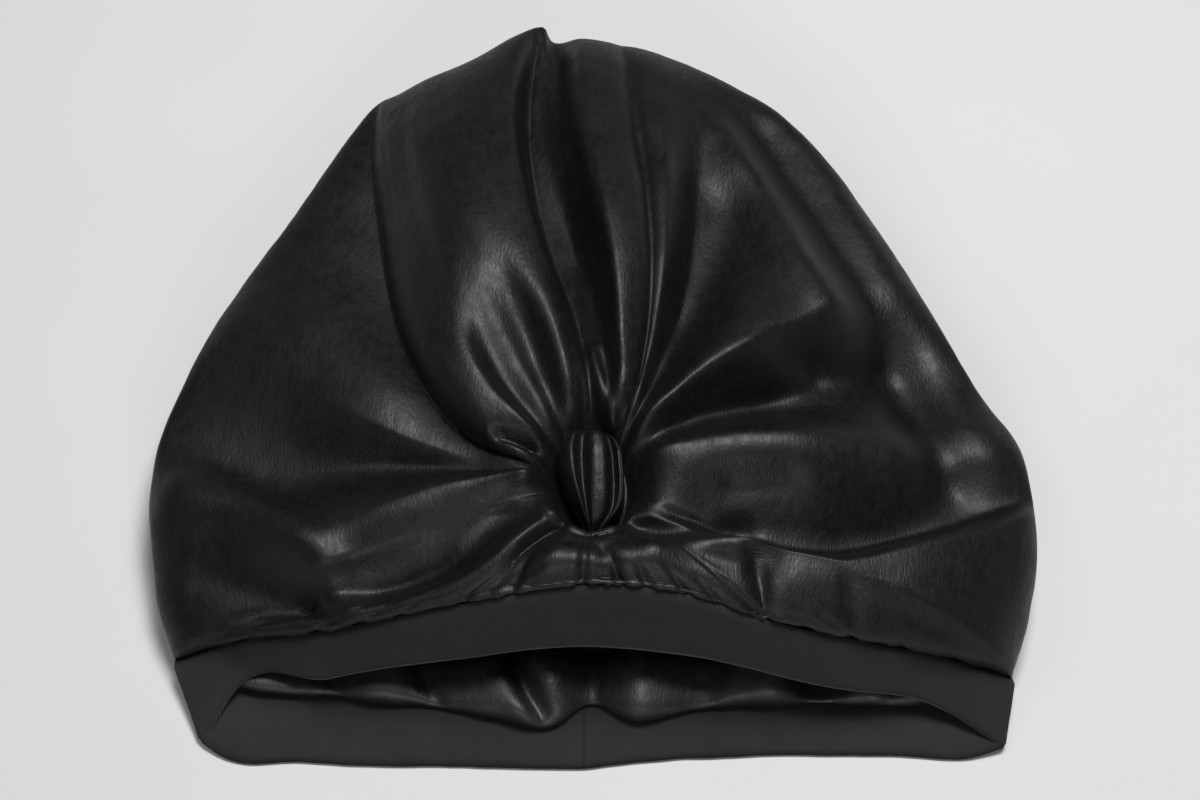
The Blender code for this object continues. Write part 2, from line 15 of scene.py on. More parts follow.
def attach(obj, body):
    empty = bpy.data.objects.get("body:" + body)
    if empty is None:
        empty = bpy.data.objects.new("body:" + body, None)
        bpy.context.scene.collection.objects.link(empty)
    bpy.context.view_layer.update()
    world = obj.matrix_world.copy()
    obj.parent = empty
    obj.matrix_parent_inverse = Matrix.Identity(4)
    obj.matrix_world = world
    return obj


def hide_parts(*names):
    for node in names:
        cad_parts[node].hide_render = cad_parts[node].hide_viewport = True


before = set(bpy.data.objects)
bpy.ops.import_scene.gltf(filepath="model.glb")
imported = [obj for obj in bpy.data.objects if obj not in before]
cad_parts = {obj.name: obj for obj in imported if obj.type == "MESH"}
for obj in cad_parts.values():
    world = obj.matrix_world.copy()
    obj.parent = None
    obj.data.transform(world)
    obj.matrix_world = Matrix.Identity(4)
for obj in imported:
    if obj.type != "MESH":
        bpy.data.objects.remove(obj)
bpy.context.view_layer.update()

# Driving sizes. They are those of the solids, but the satin is thinner, the lining puffs out more and
# the knot's seat is rounded.
CROWN_WIDTH = 0.282
CROWN_LENGTH = 0.230
CROWN_HEIGHT = 0.078
BAND_DEPTH = 0.031
BAND_WALL = 0.0020
SATIN_WALL = 0.0006
GAP = 0.0005
KNOT_WIDTH = 0.0205
KNOT_LENGTH = 0.034
KNOT_HEIGHT = 0.017
KNOT_FROM_SEAM = 0.041
KNOT_SEAT = 0.049
BACK_SEAM_STEP = 0.002
FLAT_SHARE = 0.80
DOME_POWER = 2.6
RIM_OVERHANG = 0.0025
RIM_SLOPE = 0.030
LINING_INSET = 0.0036
LINING_WALL = 0.0010
LINING_PUFF = 0.0085

HALF_WIDTH = CROWN_WIDTH / 2
SEAM_Y = BAND_DEPTH - (CROWN_LENGTH + BAND_DEPTH) / 2
KNOT_Y = SEAM_Y + KNOT_FROM_SEAM
BACK_SEAM_Y = SEAM_Y + BACK_SEAM_STEP

# name, x share of half width, y share of crown length from the seam, z share of crown height
RIM = (
    ("right_corner", 0.935, -0.015, 0.11),
    ("right_hem", 0.975, 0.060, 0.20),
    ("right_belly", 1.000, 0.170, 0.28),
    ("right_side", 0.978, 0.290, 0.31),
    ("right_flank", 0.895, 0.385, 0.31),
    ("right_upper", 0.775, 0.545, 0.31),
    ("right_shoulder", 0.622, 0.725, 0.31),
    ("right_brow", 0.483, 0.845, 0.32),
    ("right_top", 0.364, 0.905, 0.32),
    ("top_saddle", 0.167, 0.967, 0.32),
    ("top_flat", 0.000, 0.990, 0.33),
    ("tip_foot", -0.095, 0.988, 0.34),
    ("tip", -0.125, 1.000, 0.41),
    ("tip_side", -0.185, 0.982, 0.40),
    ("left_top", -0.300, 0.940, 0.37),
    ("left_brow", -0.470, 0.890, 0.35),
    ("left_shoulder", -0.557, 0.855, 0.33),
    ("left_upper", -0.723, 0.670, 0.32),
    ("left_flank", -0.882, 0.492, 0.32),
    ("left_side", -0.980, 0.333, 0.31),
    ("left_belly", -1.000, 0.228, 0.28),
    ("left_hem", -0.975, 0.090, 0.20),
    ("left_corner", -0.930, 0.012, 0.11),
)

# The front seam between crown and band, in the same shares: an arch over the mouth.
SEAM = (
    ("left_corner", -0.930, 0.012, 0.11),
    ("left_hem", -0.780, 0.016, 0.27),
    ("left_side", -0.566, 0.006, 0.45),
    ("left_brow", -0.387, 0.008, 0.61),
    ("left_of_knot", -0.192, 0.014, 0.74),
    ("under_knot", 0.000, 0.023, 0.79),
    ("right_of_knot", 0.187, 0.016, 0.76),
    ("right_brow", 0.358, -0.003, 0.65),
    ("right_side", 0.578, -0.012, 0.48),
    ("right_hem", 0.784, -0.011, 0.29),
    ("right_corner", 0.935, -0.015, 0.11),
)

# The band's free edge over the mouth: x share of half width, y share of band depth from the seam,
# z share of crown height. MOUTH_BACK is the part of it that lies on the surface.
MOUTH_FRONT = (
    ("left_corner", -0.859, -0.74, 0.030),
    ("left_turn", -0.820, -0.40, 0.075),
    ("left_side", -0.577, -0.22, 0.195),
    ("left_brow", -0.309, -0.13, 0.315),
    ("middle", 0.000, -0.05, 0.375),
    ("right_brow", 0.236, -0.14, 0.345),
    ("right_side", 0.523, -0.34, 0.225),
    ("right_turn", 0.760, -0.42, 0.120),
    ("right_corner", 0.909, -0.80, 0.035),
)
MOUTH_BACK = (
    ("left_corner", -0.859, -0.74, 0.030),
    ("left_foot", -0.810, -0.87, 0.016),
    ("left_flat", -0.645, -0.93, 0.013),
    ("left_of_seam", -0.200, -0.98, 0.013),
    ("back_seam", -0.020, -1.00, 0.013),
    ("right_of_seam", 0.100, -0.93, 0.013),
    ("right_flat", 0.680, -0.86, 0.013),
    ("right_foot", 0.840, -0.88, 0.017),
    ("right_corner", 0.909, -0.80, 0.035),
)

# Each row is a crest or a hollow, in turn round the knot from +X towards +Y. The angles, in degrees,
# say where it runs near the knot, at three places further out and at the rim. The heights, at the
# first four of these, are shares of the crown's. round is 1 for a full crest, 0 for a sharp crease.
# name, near, inner, mid, far, rim, near_z, inner_z, mid_z, far_z, round
FOLDS = (
    ("right_hollow", -22, -18, -15, -3, 5, 0.74, 0.70, 0.62, 0.48, 1),
    ("level_fold", 21, 17, 13, 10, 11, 0.79, 0.83, 0.83, 0.66, 1),
    ("slant_crease", 38, 36, 31, 28, 25, 0.74, 0.71, 0.60, 0.48, 1),
    ("slant_fold", 49, 47, 43, 41, 42, 0.79, 0.85, 0.90, 0.78, 1),
    ("slant_hollow", 58, 62, 67, 73, 70, 0.74, 0.72, 0.66, 0.60, 1),
    ("soft_fold", 62.5, 68, 73.5, 80, 85, 0.76, 0.775, 0.82, 0.75, 1),
    ("middle_crease", 64, 69.5, 76.5, 83.5, 87, 0.75, 0.76, 0.79, 0.70, 0),
    ("middle_edge", 67, 72.8, 79.6, 86.0, 88.6, 0.775, 0.82, 0.865, 0.78, 1),
    ("middle_fold", 73, 79, 86, 90.5, 91.2, 0.80, 0.85, 0.90, 0.81, 1),
    ("shadow_hollow", 82, 87, 93.5, 96.5, 94, 0.745, 0.71, 0.60, 0.54, 1),
    ("lip_crease", 91, 94, 98.5, 99, 95.5, 0.74, 0.69, 0.60, 0.52, 0),
    ("lip_edge", 95, 97.5, 101.6, 101.8, 98.0, 0.765, 0.82, 0.885, 0.83, 1),
    ("lip_fold", 103, 103.5, 109, 109, 104, 0.79, 0.87, 0.93, 0.88, 1),
    ("right_eye", 115, 113, 113, 111, 106, 0.735, 0.77, 0.928, 0.865, 1),
    ("eye_ridge", 122, 120.5, 118, 114, 109, 0.75, 0.80, 0.918, 0.835, 1),
    ("left_eye", 130, 129, 123, 116.5, 110, 0.735, 0.775, 0.905, 0.80, 1),
    ("cheek_fold", 140, 139, 129, 118.5, 111, 0.79, 0.86, 0.88, 0.76, 1),
    ("eyelet", 149.5, 147, 135, 121, 112, 0.765, 0.845, 0.845, 0.72, 1),
    ("edge_fold", 156, 153, 140.5, 123.3, 113, 0.775, 0.81, 0.79, 0.67, 1),
    ("edge_crease", 165, 158, 145, 126.8, 114.5, 0.745, 0.68, 0.62, 0.53, 0),
    ("left_body", 167.5, 164, 162, 153, 146, 0.745, 0.69, 0.68, 0.61, 1),
    ("left_hollow", 171, 170, 170, 172, 165, 0.74, 0.68, 0.59, 0.48, 1),
    ("left_roll", 179, 182, 187, 190, 178, 0.775, 0.79, 0.76, 0.62, 1),
    ("left_chin_hollow", 192, 199, 204, 204, 188, 0.745, 0.72, 0.68, 0.56, 1),
    ("left_chin", 228, 226, 225, 224, 220, 0.78, 0.81, 0.83, 0.80, 1),
    ("chin_crease", 244, 239, 232, 231, 231, 0.75, 0.755, 0.76, 0.76, 1),
    ("left_panel", 253, 252, 250, 250, 250, 0.76, 0.79, 0.82, 0.86, 1),
    ("centre_seam", 268, 268, 268, 268, 268, 0.745, 0.78, 0.81, 0.85, 0.5),
    ("right_panel", 286, 287, 287, 287, 287, 0.76, 0.79, 0.82, 0.86, 1),
    ("right_chin_hollow", 306, 311, 316, 319, 320, 0.73, 0.75, 0.77, 0.80, 1),
    ("right_hem_roll", 320, 328, 334, 350, 361, 0.76, 0.78, 0.79, 0.75, 1),
)
# Shares of the way from the knot's edge to the rim: the edge, near, inner, mid, far and rim.
FOLD_STATIONS = (0.0, 0.07, 0.20, 0.40, 0.70, 1.0)
RIM_LEVEL = 0.9
# How steep a crease starts, and between which shares of the way a half crease opens into a soft one.
CREASE_STEEPNESS = 1.9
CREASE_WAY = (0.10, 0.45)
DEGREES_PER_COLUMN = 0.85
CROWN_RINGS = 84
SEAM_STEPS = 240
CROSSING_STEPS = 80
# The back's rings inside its rounded rim, as shares of the way from the back seam's middle.
BACK_RINGS = (0.66, 0.5, 0.33, 0.16)
BACK_TURN_STEPS = 11
# The satin's turned hem behind the band: how far in and how far down each row of it lies.
HEM_ROWS = ((0.0012, 0.0006), (0.0018, 0.0030), (0.0018, 0.0060))
HEM_TAPER_COLUMNS = 4
WELD = 0.00002

# Ridges and troughs that cross the folds, each an arc over three places: x share of half width and
# y share of crown length from the seam, then its half width and its height as such shares.
# name, x_1, y_1, x_2, y_2, x_3, y_3, half_width, height
CROSSINGS = (
    ("side_trough", 0.410, 0.800, 0.600, 0.550, 0.800, 0.240, 0.075, -0.15),
    ("shoulder_ridge", 0.342, 0.790, 0.471, 0.569, 0.565, 0.455, 0.070, 0.09),
    ("slant_bowl", 0.230, 0.440, 0.270, 0.520, 0.330, 0.640, 0.090, -0.05),
    ("peak_pocket", 0.436, 0.380, 0.463, 0.385, 0.492, 0.380, 0.035, -0.06),
    ("valley_swell", 0.469, 0.350, 0.537, 0.355, 0.604, 0.340, 0.060, 0.03),
    ("level_dent", 0.310, 0.177, 0.364, 0.180, 0.429, 0.186, 0.035, -0.03),
    ("shadow_swell", -0.010, 0.500, 0.014, 0.452, 0.032, 0.390, 0.035, 0.04),
    ("sliver", 0.000, 0.370, 0.022, 0.312, 0.045, 0.262, 0.016, 0.05),
    ("left_swell", -0.820, 0.480, -0.640, 0.430, -0.480, 0.330, 0.130, 0.06),
    ("left_curl", -0.938, 0.223, -0.700, 0.150, -0.530, 0.005, 0.060, 0.11),
    ("left_shadow", -0.850, 0.100, -0.745, 0.075, -0.640, 0.050, 0.050, -0.07),
    ("left_pocket", -0.550, 0.010, -0.582, 0.022, -0.615, 0.036, 0.020, -0.10),
    ("right_gather", 0.352, 0.067, 0.358, 0.034, 0.367, -0.004, 0.020, -0.07),
    ("hem_gather", 0.552, 0.037, 0.557, 0.010, 0.561, -0.011, 0.020, -0.03),
    ("right_chin", 0.137, 0.071, 0.240, 0.083, 0.345, 0.080, 0.035, 0.05),
    ("right_chin_trough", 0.100, 0.125, 0.190, 0.102, 0.320, 0.117, 0.030, -0.05),
    ("small_dent", 0.028, 0.057, 0.044, 0.046, 0.052, 0.035, 0.020, -0.03),
    ("knot_pouch", -0.137, 0.176, -0.100, 0.166, -0.075, 0.156, 0.030, 0.06),
    ("eyelet_hole", -0.199, 0.239, -0.167, 0.232, -0.132, 0.226, 0.013, -0.06),
)

# The lining's rolled lower edge over the back of the band.
# name, x share of half width, reach share of band depth, rise share of the puff
LINING_EDGE = (
    ("left_end", -0.88, 0.10, 0.15),
    ("left_pucker", -0.74, 0.30, 0.50),
    ("left_dip", -0.59, 0.27, 0.30),
    ("left_puff", -0.48, 0.34, 0.80),
    ("left_crease", -0.35, 0.36, 0.35),
    ("middle_puff", -0.22, 0.48, 0.90),
    ("deep_puff", -0.085, 0.55, 1.00),
    ("middle_crease", -0.01, 0.34, 0.35),
    ("right_puff", 0.10, 0.52, 1.00),
    ("right_crease", 0.235, 0.40, 0.50),
    ("right_roll", 0.33, 0.37, 0.90),
    ("step_high", 0.43, 0.36, 0.95),
    ("step_low", 0.465, 0.34, 0.30),
    ("low_puff", 0.60, 0.40, 0.60),
    ("right_pucker", 0.74, 0.44, 0.50),
    ("right_end", 0.88, 0.12, 0.15),
)

# Gathers that run inwards from the lining's edge: x share of half width at the edge, how far that has
# shifted further in, half width as such a share, and depth as a share of the puff
LINING_GATHERS = (
    ("left_fold", -0.56, -0.04, 0.020, 0.40),
    ("left_gather", -0.34, -0.05, 0.024, 0.60),
    ("middle_gather", -0.10, -0.08, 0.028, 0.65),
    ("middle_notch", 0.005, 0.00, 0.014, 0.35),
    ("right_gather", 0.25, 0.03, 0.030, 0.30),
    ("right_small", 0.66, 0.02, 0.018, 0.30),
)

# Sections of the lining from its mouth to its closed end. follow is 1 where the front hangs from
# the seam. The front's y and z are shares of the crown's length and height, lip is how far the back
# reaches over the band, puff is how much of the rise is left, and lift is where the end turns up.
# name, width, follow, front_y, front_z, lip, back_y, puff, lift
LINING_SECTIONS = (
    ("turned_edge", 0.880, 1.00, 0.000, 0.00, 0.55, 0.00, 0.00, 0.00),
    ("edge_under", 0.880, 1.00, 0.004, 0.00, 0.93, 0.00, 0.00, 0.00),
    ("edge_nose", 0.880, 1.00, 0.008, 0.00, 1.00, 0.00, 0.35, 0.00),
    ("edge_over", 0.875, 0.85, 0.020, 0.60, 0.88, 0.00, 0.80, 0.00),
    ("puff_top", 0.875, 0.45, 0.050, 0.61, 0.45, 0.00, 1.00, 0.00),
    ("over_band", 0.886, 0.15, 0.100, 0.55, 0.00, 0.02, 1.15, 0.00),
    ("behind_band", 0.908, 0.05, 0.150, 0.525, 0.00, 0.11, 0.80, 0.00),
    ("knot_level", 0.912, 0.00, 0.230, 0.475, 0.00, 0.22, 0.30, 0.00),
    ("belly", 0.862, 0.00, 0.340, 0.42, 0.00, 0.34, 0.00, 0.00),
    ("middle", 0.740, 0.00, 0.520, 0.375, 0.00, 0.52, 0.00, 0.00),
    ("upper", 0.560, 0.00, 0.710, 0.35, 0.00, 0.71, 0.00, 0.00),
    ("end_turn", 0.330, 0.00, 0.850, 0.28, 0.00, 0.85, 0.00, 0.05),
    ("end", 0.090, 0.00, 0.910, 0.20, 0.00, 0.91, 0.00, 0.12),
)

# The knot's outline along its length, from the end by the seam: share of length, and of half width
# to the left and to the right, height share, and how deep its grooves are.
# name, along, left, right, height, groove
KNOT_SECTIONS = (
    ("seam_tip", 0.00, 0.06, 0.10, 0.30, 0.0),
    ("seam_taper", 0.08, 0.20, 0.42, 0.52, 0.5),
    ("lower", 0.22, 0.46, 0.86, 0.72, 0.9),
    ("belly", 0.42, 0.80, 1.00, 0.88, 1.0),
    ("middle", 0.60, 0.97, 0.97, 0.98, 1.0),
    ("upper", 0.78, 1.00, 0.88, 1.00, 0.8),
    ("shoulder", 0.92, 0.80, 0.62, 0.88, 0.4),
    ("top", 1.00, 0.40, 0.24, 0.55, 0.0),
)

# Across the knot, from its left edge to its right one: place share, height share without grooves,
# and with full grooves.
# name, across, plain, grooved
KNOT_PROFILE = (
    ("left_foot", -1.00, 0.30, 0.30),
    ("left_edge", -0.93, 0.58, 0.60),
    ("outer_groove", -0.82, 0.76, 0.80),
    ("left_pleat", -0.58, 0.94, 0.98),
    ("pleat_groove", -0.27, 0.96, 0.66),
    ("panel_left", -0.08, 0.98, 0.90),
    ("panel", 0.25, 1.00, 0.97),
    ("panel_right", 0.50, 0.94, 0.86),
    ("roll_groove", 0.66, 0.86, 0.56),
    ("right_roll", 0.86, 0.72, 0.84),
    ("right_edge", 0.98, 0.50, 0.56),
    ("right_foot", 1.00, 0.30, 0.28),
)

# Small gathers that the seam's stitches pull into the satin: x share of half width, half width of
# the gather in metres, how far it runs up from the seam in metres, depth in metres
SEAM_GATHERS = (
    ("left_corner_tuck", -0.86, 0.0020, 0.012, 0.0008),
    ("left_hem_tuck", -0.77, 0.0018, 0.010, 0.0006),
    ("left_pocket_edge", -0.60, 0.0022, 0.016, 0.0012),
    ("left_curl_tuck", -0.50, 0.0018, 0.012, 0.0008),
    ("left_small_tuck", -0.41, 0.0016, 0.009, 0.0007),
    ("left_chin_tuck", -0.27, 0.0018, 0.010, 0.0006),
    ("left_chin_pull", -0.17, 0.0016, 0.012, 0.0008),
    ("middle_pull", -0.02, 0.0016, 0.014, 0.0009),
    ("middle_small", 0.06, 0.0014, 0.008, 0.0007),
    ("right_scallop_a", 0.12, 0.0016, 0.008, 0.0008),
    ("right_scallop_b", 0.20, 0.0016, 0.008, 0.0008),
    ("right_scallop_c", 0.27, 0.0016, 0.009, 0.0008),
    ("right_gather_foot", 0.36, 0.0024, 0.018, 0.0014),
    ("right_notch_a", 0.46, 0.0016, 0.008, 0.0008),
    ("right_notch_b", 0.56, 0.0018, 0.012, 0.0010),
    ("right_notch_c", 0.68, 0.0016, 0.009, 0.0008),
    ("right_notch_d", 0.80, 0.0018, 0.010, 0.0007),
    ("right_corner_tuck", 0.88, 0.0020, 0.012, 0.0008),
)
SEAM_BULGE = 0.0012
BULGE_FULLNESS = 1.4
BULGE_REACH = 0.010
# The columns that the bulge and the gathers touch: how far up the crown they may end, the share of
# half width where they stop, and over how much of it they fade.
SEAM_DEPTH = 0.03
SEAM_END = 0.93
SEAM_FADE = 0.12
# A gather's raised sides: how many half widths out, and what share of its depth they rise.
GATHER_SIDE = 2.2
GATHER_SIDE_RISE = 0.35

# Small wrinkles of each piece: size and depth in metres.
WRINKLES = ((0.020, 0.00050), (0.0075, 0.00016))
LINING_WRINKLES = ((0.012, 0.0006), (0.005, 0.0002))
BAND_WRINKLES = ((0.025, 0.0007), (0.008, 0.0002))

# The lining's side: how far behind the seam it starts, as a share of the crown's length, and its
# height in metres at shares of that length.
LINING_SIDE_STEP = 0.014
LINING_SIDE_PLACES = (0, 0.3, 0.9)
LINING_SIDE_HEIGHTS = (0.0105, 0.020, 0.019)
# How bluntly the lining's front and back halves bow up from its sides.
LINING_ARCH = 1.2
LINING_FRONT_BLUNT = 0.5
LINING_BACK_BLUNT = 0.4
LEAST_RISE = 0.05

# Where the band's upper edge lies from the seam in front and from the crown's back, in metres, and
# the share of its depth that each soft edge takes.
BAND_SEAM_STEP = (0, 0.0002, -0.0008)
BAND_BACK_STEP = -0.0004
BAND_EDGE_SHARE = 0.045

KNOT_CROWDING = 1.6
KNOT_FOOT = 0.6

BACK_SEAM_X = -0.0024
BACK_SEAM_HALF = 0.0003
BACK_SEAM_TOP = 0.006

SATIN_COLOUR = (0.0020, 0.0020, 0.0021)
SATIN_GLOSS = 0.30
# The lining is the crown's black satin. Its colour is painted three times lighter than the crown's, as
# painted light on the shaded lining inside the mouth.
LINING_COLOUR_PAINTED_LIGHTER = (0.0060, 0.0060, 0.0062)
LINING_GLOSS = 0.50
SATIN_ROUGHNESS = (0.41, 0.54)
CLOUD_ROUGHNESS = (0.0, 0.07)
FIBRE_DEPTH = 0.00014
MOTTLE_DEPTH = 0.00014
JERSEY_COLOUR = (0.0075, 0.0075, 0.0078)
RIB_DEPTH = 0.00005
FUZZ_DEPTH = 0.00010
FLOOR_COLOUR = (0.47, 0.47, 0.473)
FLOOR_REACH = 3

CAMERA_ELEVATION = 62
CAMERA_DISTANCE = 0.812
CAMERA_TARGET = (0.0026, -0.013, 0.025)
CAMERA_LENS = 75
CAMERA_SENSOR = 36


def spline(stations, values, at):
    """A smooth curve through values at rising stations, read at the places in at."""
    stations = np.asarray(stations, float)
    values = np.asarray(values, float)
    slopes = np.gradient(values, stations, axis=0)
    i = np.clip(np.searchsorted(stations, at, side="right") - 1, 0, len(stations) - 2)
    span = stations[i + 1] - stations[i]
    t = (at - stations[i]) / span
    if values.ndim == 2:
        t, span = t[:, None], span[:, None]
    a = values[i] * (1 + 2 * t) * (1 - t) ** 2 + slopes[i] * span * t * (1 - t) ** 2
    b = values[i + 1] * t * t * (3 - 2 * t) + slopes[i + 1] * span * t * t * (t - 1)
    return a + b


def columns_of(table):
    """The numbers of a named table, one array for each column after the name."""
    return np.array([row[1:] for row in table], float).T


def curve_at(table, x):
    """Points at x of a curve held in a table of x, y and z shares of the crown's sizes."""
    rows = columns_of(table).T * (HALF_WIDTH, CROWN_LENGTH, CROWN_HEIGHT) + (0, SEAM_Y, 0)
    points = spline(rows[:, 0], rows, x)
    points[:, 0] = x
    return points


def across_from(table, way):
    """Places in x from the table's first row to its last, at shares of the way between."""
    first, last = table[0][1], table[-1][1]
    return (first + (last - first) * way) * HALF_WIDTH


def eased(count):
    """count + 1 shares from 0 to 1, closer together at both ends."""
    return (1 - np.cos(np.linspace(0, math.pi, count + 1))) / 2


def rim_curve(per_span=12):
    """The crown's rim from the right corner round the tip to the left corner, as points."""
    rows = columns_of(RIM).T * (HALF_WIDTH, CROWN_LENGTH, CROWN_HEIGHT) + (0, SEAM_Y, 0)
    steps = np.arange(0, len(rows) - 1 + 1e-9, 1 / per_span)
    return spline(np.arange(len(rows)), rows, steps)


def polar_reader(curve):
    """Distance from the knot and height of a closed curve, as functions of the angle in degrees."""
    angle = np.degrees(np.arctan2(curve[:, 1] - KNOT_Y, curve[:, 0])) % 360
    order = np.argsort(angle)
    angle = angle[order]
    from_knot = curve[order, :2] - (0, KNOT_Y)
    values = np.column_stack([np.hypot(*from_knot.T), curve[order, 2]])
    angle = np.concatenate([angle - 360, angle, angle + 360])
    values = np.tile(values, (3, 1))
    return lambda at: np.stack([np.interp(at, angle, values[:, k]) for k in (0, 1)], axis=-1)


def line_slopes(heights, middles, rounds, share):
    """Slopes before and after each fold line, per gap: none on a crest, steep at a crease."""
    gaps = np.diff(middles)[:, None]
    rise = np.diff(heights, axis=0)
    before, after = np.roll(rise, 1, axis=0), rise
    gap_before = np.roll(gaps, 1, axis=0)
    steep_a, steep_b = before / gap_before, after / gaps
    even = 2 * steep_a * steep_b / np.where(steep_a * steep_b > 0, steep_a + steep_b, 1)
    even = np.where(steep_a * steep_b > 0, even, 0)
    opening = np.clip((share - CREASE_WAY[0]) / (CREASE_WAY[1] - CREASE_WAY[0]), 0, 1)
    soft = rounds[:-1, None] * np.where(rounds[:-1, None] < 1, opening, 1)
    slope_in = soft * even * gap_before + (1 - soft) * CREASE_STEEPNESS * before
    slope_out = soft * even * gaps + (1 - soft) * CREASE_STEEPNESS * after
    return slope_out, np.roll(slope_in, -1, axis=0)


def crossing_heights(points):
    """Height that CROSSINGS add at points seen from above."""
    flat = points.reshape(-1, 3)[:, :2]
    added = np.zeros(len(flat))
    scale = (HALF_WIDTH, CROWN_LENGTH)
    t = np.linspace(0, 1, CROSSING_STEPS)[:, None]
    for row in CROSSINGS:
        a, b, c = (np.array(row[k : k + 2]) * scale + (0, SEAM_Y) for k in (1, 3, 5))
        bend = 2 * b - (a + c) / 2
        arc = (1 - t) ** 2 * a + 2 * t * (1 - t) * bend + t**2 * c
        away = np.full(len(flat), np.inf)
        for place in arc:
            away = np.minimum(away, np.hypot(*(flat - place).T))
        added += row[8] * CROWN_HEIGHT * np.exp(-((away / (row[7] * HALF_WIDTH)) ** 2))
    return added.reshape(points.shape[:-1])


def knot_radius(angle, grow):
    """Distance from the knot's middle to an ellipse round its outline, at an angle in degrees."""
    a, b = KNOT_WIDTH / 2 + grow, KNOT_LENGTH / 2 + grow
    c, s = np.cos(np.radians(angle)), np.sin(np.radians(angle))
    return a * b / np.sqrt((b * c) ** 2 + (a * s) ** 2)


def crown_front():
    """Rings of points over the crown's front, from the knot's seat out to the rim and the seam."""
    seam = curve_at(SEAM, across_from(SEAM, eased(SEAM_STEPS)))
    reader = polar_reader(np.concatenate([rim_curve(), seam[1:-1]]))
    share = eased(CROWN_RINGS)[:, None]
    near, inner, mid, far, rim, near_z, inner_z, mid_z, far_z, rounds = columns_of(FOLDS + FOLDS[:1])
    for angles in (near, inner, mid, far, rim):
        angles[-1] += 360
    seat = np.full(len(near), KNOT_SEAT / CROWN_HEIGHT)
    ways = np.array([near, near, inner, mid, far, rim])
    levels = np.array([seat, near_z, inner_z, mid_z, far_z, far_z * RIM_LEVEL])
    angles = spline(FOLD_STATIONS, ways, share[:, 0])
    heights = spline(FOLD_STATIONS, levels, share[:, 0])
    slope_out, slope_in = line_slopes(heights.T, mid, rounds, share[:, 0])
    grid = []
    for k in range(len(FOLDS)):
        gap = max(mid[k + 1] - mid[k], rim[k + 1] - rim[k])
        steps = max(3, round(gap / DEGREES_PER_COLUMN))
        t = np.arange(steps) / steps
        angle = angles[:, k, None] + (angles[:, k + 1] - angles[:, k])[:, None] * t
        height = heights[:, k, None] * (1 + 2 * t) * (1 - t) ** 2
        height = height + slope_out[k][:, None] * t * (1 - t) ** 2
        height = height + heights[:, k + 1, None] * t**2 * (3 - 2 * t)
        height = (height + slope_in[k][:, None] * t**2 * (t - 1)) * CROWN_HEIGHT
        rim_distance, rim_height = np.moveaxis(reader(angle), -1, 0)
        height = np.maximum(height, rim_height + RIM_OVERHANG - RIM_SLOPE * (1 - share))
        start = knot_radius(angle, GAP)
        distance = start + (rim_distance - start) * share
        turn = np.radians(angle)
        points = np.stack([distance * np.cos(turn), KNOT_Y + distance * np.sin(turn), height], axis=-1)
        height = height + crossing_heights(points)
        points[..., 2] = rim_height + (height - rim_height) * np.sqrt(1 - share**DOME_POWER)
        points[0, :, 2] = KNOT_SEAT
        grid.append(points)
    grid = np.concatenate(grid, axis=1)
    for corner in rim_curve()[[0, -1]]:
        nearest = np.argmin(np.linalg.norm(grid[-1] - corner, axis=1))
        grid[-1, nearest] = corner
    return grid


def grid_normals(grid):
    """Outward directions at the points of a ring grid that closes on itself."""
    along = np.roll(grid, -1, axis=1) - np.roll(grid, 1, axis=1)
    outward = np.gradient(grid, axis=0)
    normals = np.cross(outward, along)
    length = np.linalg.norm(normals, axis=-1, keepdims=True)
    return normals / np.maximum(length, 1e-12)


def seam_distance(grid):
    """Each point's distance to the front seam along its own column, in metres."""
    step = np.linalg.norm(np.diff(grid, axis=0), axis=-1)
    left = np.cumsum(step[::-1], axis=0)[::-1]
    return np.concatenate([left, np.zeros((1, grid.shape[1]))])


def fine_relief(grid):
    """The grid with the satin's bulge over the seam and the stitches' gathers."""
    normals = grid_normals(grid)
    at_rim = grid[-1]
    low = at_rim[:, 1] < SEAM_Y + SEAM_DEPTH * CROWN_LENGTH
    front = low & (np.abs(at_rim[:, 0]) < SEAM_END * HALF_WIDTH)
    on_seam = front * np.clip((SEAM_END - np.abs(at_rim[:, 0]) / HALF_WIDTH) / SEAM_FADE, 0, 1)
    away = seam_distance(grid)
    bulge = SEAM_BULGE * (away / BULGE_REACH) * np.exp(1 - away / BULGE_REACH) * BULGE_FULLNESS
    relief = bulge * on_seam
    for _, x, half, reach, depth in SEAM_GATHERS:
        near = np.exp(-(((at_rim[:, 0] - x * HALF_WIDTH) / half) ** 2))
        relief -= depth * near * on_seam * np.exp(-((away / reach) ** 2))
        sides = np.exp(-((np.abs(at_rim[:, 0] - x * HALF_WIDTH) - GATHER_SIDE * half) ** 2) / half**2)
        relief += GATHER_SIDE_RISE * depth * sides * on_seam * np.exp(-((away / reach) ** 2))
    return grid + normals * relief[..., None]


def turned_back(rim, share):
    """Points of the crown's back that lie at a share of the way from the back seam's middle to rim."""
    middle = np.array([0, BACK_SEAM_Y, 0])
    points = middle + (rim - middle) * np.reshape(share, (-1, 1))
    turned = np.clip((np.asarray(share) - FLAT_SHARE) / (1 - FLAT_SHARE), 0, 1)
    points[:, 2] = rim[:, 2] * (1 - np.sqrt(1 - turned**2))
    return points


def add_strip(bm, first, second, closed=True):
    """Quads between two rows of the same number of vertices."""
    count = len(first)
    for j in range(count if closed else count - 1):
        k = (j + 1) % count
        bm.faces.new((first[j], first[k], second[k], second[j]))


def crease_skin(bm, amounts, still):
    """Moves vertices along their normals by smooth noise, at each size and depth listed."""
    bm.normal_update()
    moves = []
    for vertex in bm.verts:
        if vertex in still:
            continue
        amount = 0.0
        for size, depth in amounts:
            amount += depth * noise.noise(vertex.co / size, noise_basis="PERLIN_ORIGINAL")
        moves.append((vertex, vertex.normal * amount))
    for vertex, move in moves:
        vertex.co += move
        vertex.co.z = max(vertex.co.z, 0.0)


